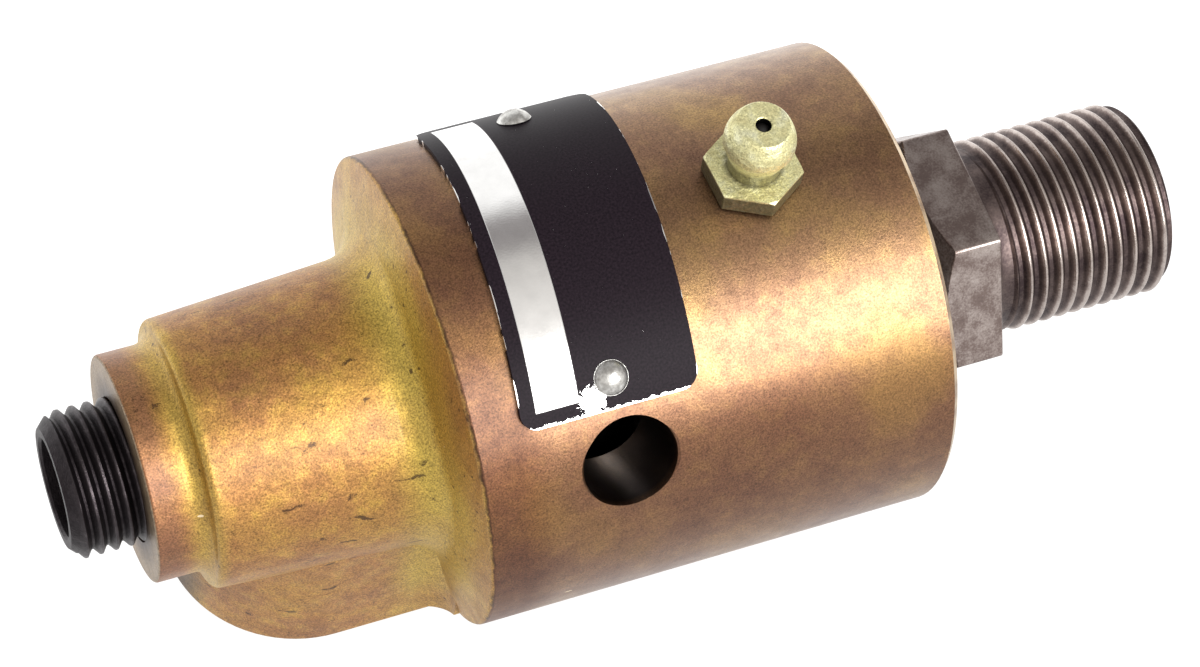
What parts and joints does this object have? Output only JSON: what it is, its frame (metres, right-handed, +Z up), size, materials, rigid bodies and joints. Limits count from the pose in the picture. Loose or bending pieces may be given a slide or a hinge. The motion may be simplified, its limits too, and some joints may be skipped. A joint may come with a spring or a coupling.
{
  "type": "hydraulic rotary union",
  "caption": "Rotary union with a bronze barrel, ball-bearing steel rotor with hexagon and threaded end, grease fitting, radial and axial ports and a sprung face seal.",
  "frame": {"origin": "on the rotor's bore axis, at the hexagon's thread-side shoulder", "axes": "+X along the axis of rotation, out of the threaded end; +Z up through the grease fitting; the port pad faces -Z"},
  "size_m": [0.1088, 0.045, 0.0533],
  "materials": {
    "cast_bronze": "turned and as cast, brown patina",
    "turned_steel": "turned, lightly oiled",
    "black_steel_pipe": "black oxide, oiled",
    "black_plate": "black printed sheet, satin",
    "bright_steel": "bright, scratched",
    "zinc_plated_steel": "yellow-green zinc plating",
    "bearing_steel": "ground",
    "sheet_steel": "pressed",
    "spring_steel": "tempered, dark",
    "seal_rubber": "smooth",
    "carbon": "lapped"
  },
  "bodies": {
    "housing": {"housing": "cast_bronze", "pipe_nipple": "black_steel_pipe", "name_plate": "black_plate", "name_plate_screws": "bright_steel", "grease_fitting_body": "zinc_plated_steel", "grease_fitting_spring": "spring_steel", "housing_retaining_ring": "spring_steel", "front_bearing_outer_ring": "bearing_steel", "front_bearing_shield": "sheet_steel", "outer_bearing_spacer": "turned_steel", "rear_bearing_outer_ring": "bearing_steel", "rear_bearing_shield": "sheet_steel", "anti_rotation_pins": "bearing_steel", "seal_o_ring": "seal_rubber", "seal_spring": "spring_steel"},
    "rotor": {"rotor": "turned_steel", "front_bearing_inner_ring": "bearing_steel", "rear_bearing_inner_ring": "bearing_steel", "inner_bearing_spacer": "turned_steel", "rotor_retaining_ring": "spring_steel", "rotor_seal_ring": "bearing_steel"},
    "front_ball_set": {"front_bearing_balls": "bearing_steel", "front_bearing_cage_front": "sheet_steel", "front_bearing_cage_rear": "sheet_steel"},
    "rear_ball_set": {"rear_bearing_balls": "bearing_steel", "rear_bearing_cage_front": "sheet_steel", "rear_bearing_cage_rear": "sheet_steel"},
    "floating_seal": {"seal_carrier": "turned_steel", "carbon_seal_ring": "carbon"},
    "check_ball": {"grease_fitting_ball": "bearing_steel"}
  },
  "joints": [
    {"name": "rotor_spin", "type": "hinge", "parent": "housing", "child": "rotor", "pos_m": [0, 0, 0], "axis": [1, 0, 0], "continuous": true},
    {"name": "front_balls_spin", "type": "hinge", "parent": "housing", "child": "front_ball_set", "pos_m": [-0.0178, 0, 0], "axis": [1, 0, 0], "continuous": true},
    {"name": "rear_balls_spin", "type": "hinge", "parent": "housing", "child": "rear_ball_set", "pos_m": [-0.0319, 0, 0], "axis": [1, 0, 0], "continuous": true},
    {"name": "seal_slide", "type": "slide", "parent": "housing", "child": "floating_seal", "axis": [-1, 0, 0], "range_m": [0, 0.001], "stiffness_N_per_m": 2000, "springref_m": -0.002, "deforming": ["seal_spring"]},
    {"name": "check_ball_slide", "type": "slide", "parent": "housing", "child": "check_ball", "axis": [0, 0, -1], "range_m": [0, 0.0008], "stiffness_N_per_m": 10, "springref_m": -0.0004, "deforming": ["grease_fitting_spring"]}
  ],
  "couplings": [
    {"joint": "front_balls_spin", "follows": "rotor_spin", "ratio": 0.382},
    {"joint": "rear_balls_spin", "follows": "rotor_spin", "ratio": 0.382}
  ]
}
